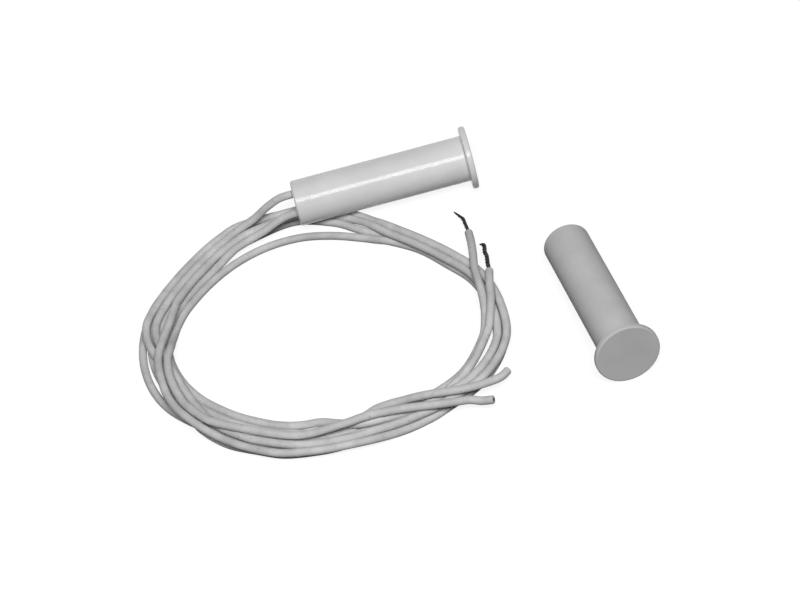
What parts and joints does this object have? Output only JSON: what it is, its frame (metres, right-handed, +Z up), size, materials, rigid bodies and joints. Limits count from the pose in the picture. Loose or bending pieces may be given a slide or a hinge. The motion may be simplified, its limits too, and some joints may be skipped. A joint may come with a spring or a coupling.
{
  "type": "recessed magnetic contact",
  "caption": "Recessed magnetic door contact: a slim flanged reed switch capsule with free coiled leads, and its separate flanged magnet capsule lying beside it.",
  "frame": {"origin": "on the table, under the middle of the box round the two capsules; the leads are left out of that box", "axes": "+X along the reed switch from its leads to its flange, +Y across it, away from the magnet, +Z up; the magnet lies beside the switch and points towards -Y, turned 7 degrees to +X"},
  "size_m": [0.0839, 0.0635, 0.011],
  "materials": {
    "white_plastic": "moulded, slightly glossy",
    "grey_plastic": "moulded, slightly glossy",
    "insulation": "soft, satin",
    "strands": "twisted fine copper strands, dull",
    "resin": "poured, smooth",
    "reed_glass": "clear, pale green",
    "reed_alloy": "plated nickel iron",
    "tinned_wire": "bright tinned",
    "sleeve": "extruded, satin",
    "solder": "bright, smooth",
    "magnet_alloy": "ground, dull metallic"
  },
  "bodies": {
    "root": {"switch_housing": "white_plastic", "switch_potting": "resin", "reed_glass": "reed_glass", "rear_reed": "reed_alloy", "front_reed": "reed_alloy", "return_wire": "tinned_wire", "return_sleeve": "sleeve", "front_joint": "solder", "rear_joint": "solder", "return_joint": "solder", "tamper_joint": "solder", "lead_1": "insulation", "lead_2": "insulation", "lead_3": "insulation", "lead_4": "insulation", "conductor_1": "strands", "conductor_2": "strands", "conductor_3": "strands", "conductor_4": "strands", "magnet_housing": "grey_plastic", "bar_magnet": "magnet_alloy", "magnet_potting": "resin"}
  },
  "joints": []
}
